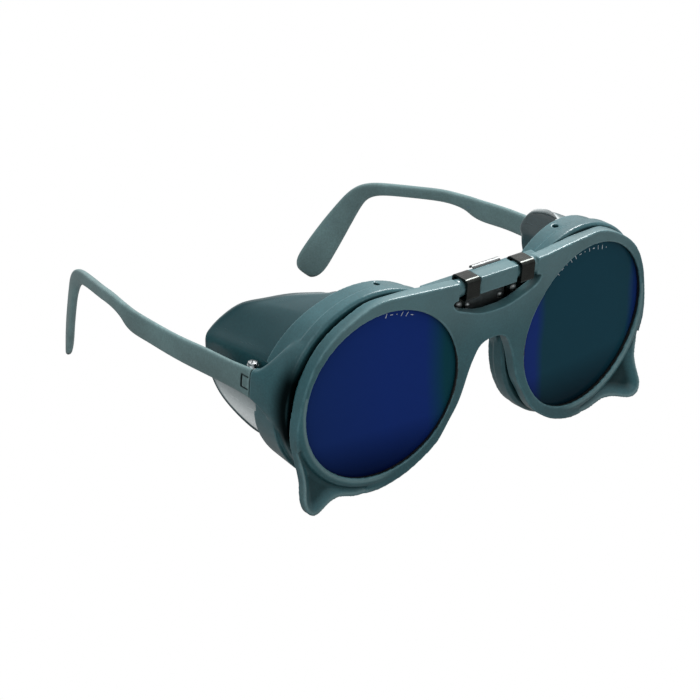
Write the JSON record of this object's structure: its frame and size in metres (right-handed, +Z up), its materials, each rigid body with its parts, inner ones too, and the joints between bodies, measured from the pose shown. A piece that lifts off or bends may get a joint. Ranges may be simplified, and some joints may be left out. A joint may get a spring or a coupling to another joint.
{
  "type": "welding goggles",
  "caption": "Flip-up welding goggles: round tinted lenses in a hinged front over a clear-lensed frame with side shields and folding temples.",
  "frame": {"origin": "middle of the ground rectangle under the goggles, standing on the two lower rims of the front and the two temple ends", "axes": "+X to the wearer's left, +Y rearward along the temples, +Z up; the lens fronts face -Y and lean back by about 5 degrees"},
  "size_m": [0.1326, 0.1342, 0.0569],
  "materials": {
    "frame_nylon": "satin moulded nylon, dark grey-green",
    "temple_nylon": "satin moulded nylon, mid grey-green",
    "shield_plastic": "glossy tinted plastic sheet",
    "welding_glass": "dark polished filter glass with a blue sheen",
    "clear_glass": "clear polished safety glass",
    "black_ring": "black snap-in ring",
    "dark_steel": "blackened spring steel",
    "plated_steel": "bright plated steel"
  },
  "bodies": {
    "root": {"rear_frame": "frame_nylon", "hinge_bracket": "plated_steel", "detent_leaf": "plated_steel", "hinge_rivets": "plated_steel", "clear_lens_right": "clear_glass", "clear_lens_left": "clear_glass", "clear_lens_ring_right": "black_ring", "clear_lens_ring_left": "black_ring", "side_shield_right": "shield_plastic", "side_shield_left": "shield_plastic", "hinge_strap_right": "dark_steel", "hinge_strap_left": "dark_steel", "front_hinge_leaf_right": "plated_steel", "front_hinge_leaf_left": "plated_steel", "temple_screw_right": "plated_steel", "temple_screw_left": "plated_steel"},
    "flip_front": {"flip_frame": "frame_nylon", "tinted_lens_right": "welding_glass", "tinted_lens_left": "welding_glass", "tinted_lens_ring_right": "black_ring", "tinted_lens_ring_left": "black_ring"},
    "right_arm": {"temple_right": "temple_nylon", "temple_hinge_leaf_right": "plated_steel"},
    "left_arm": {"temple_left": "temple_nylon", "temple_hinge_leaf_left": "plated_steel"}
  },
  "joints": [
    {"name": "flip_up", "type": "hinge", "parent": "root", "child": "flip_front", "pos_m": [0, -0.06394, 0.05272], "axis": [-1, 0, 0], "range_deg": [0, 90], "deforming": ["detent_leaf"]},
    {"name": "fold_right", "type": "hinge", "parent": "root", "child": "right_arm", "pos_m": [-0.061, -0.03906, 0.03265], "axis": [0, 0.093, -0.9957], "range_deg": [0, 72], "deforming": ["side_shield_right"]},
    {"name": "fold_left", "type": "hinge", "parent": "root", "child": "left_arm", "pos_m": [0.061, -0.03906, 0.03265], "axis": [0, -0.093, 0.9957], "range_deg": [0, 50], "deforming": ["side_shield_left"]}
  ]
}
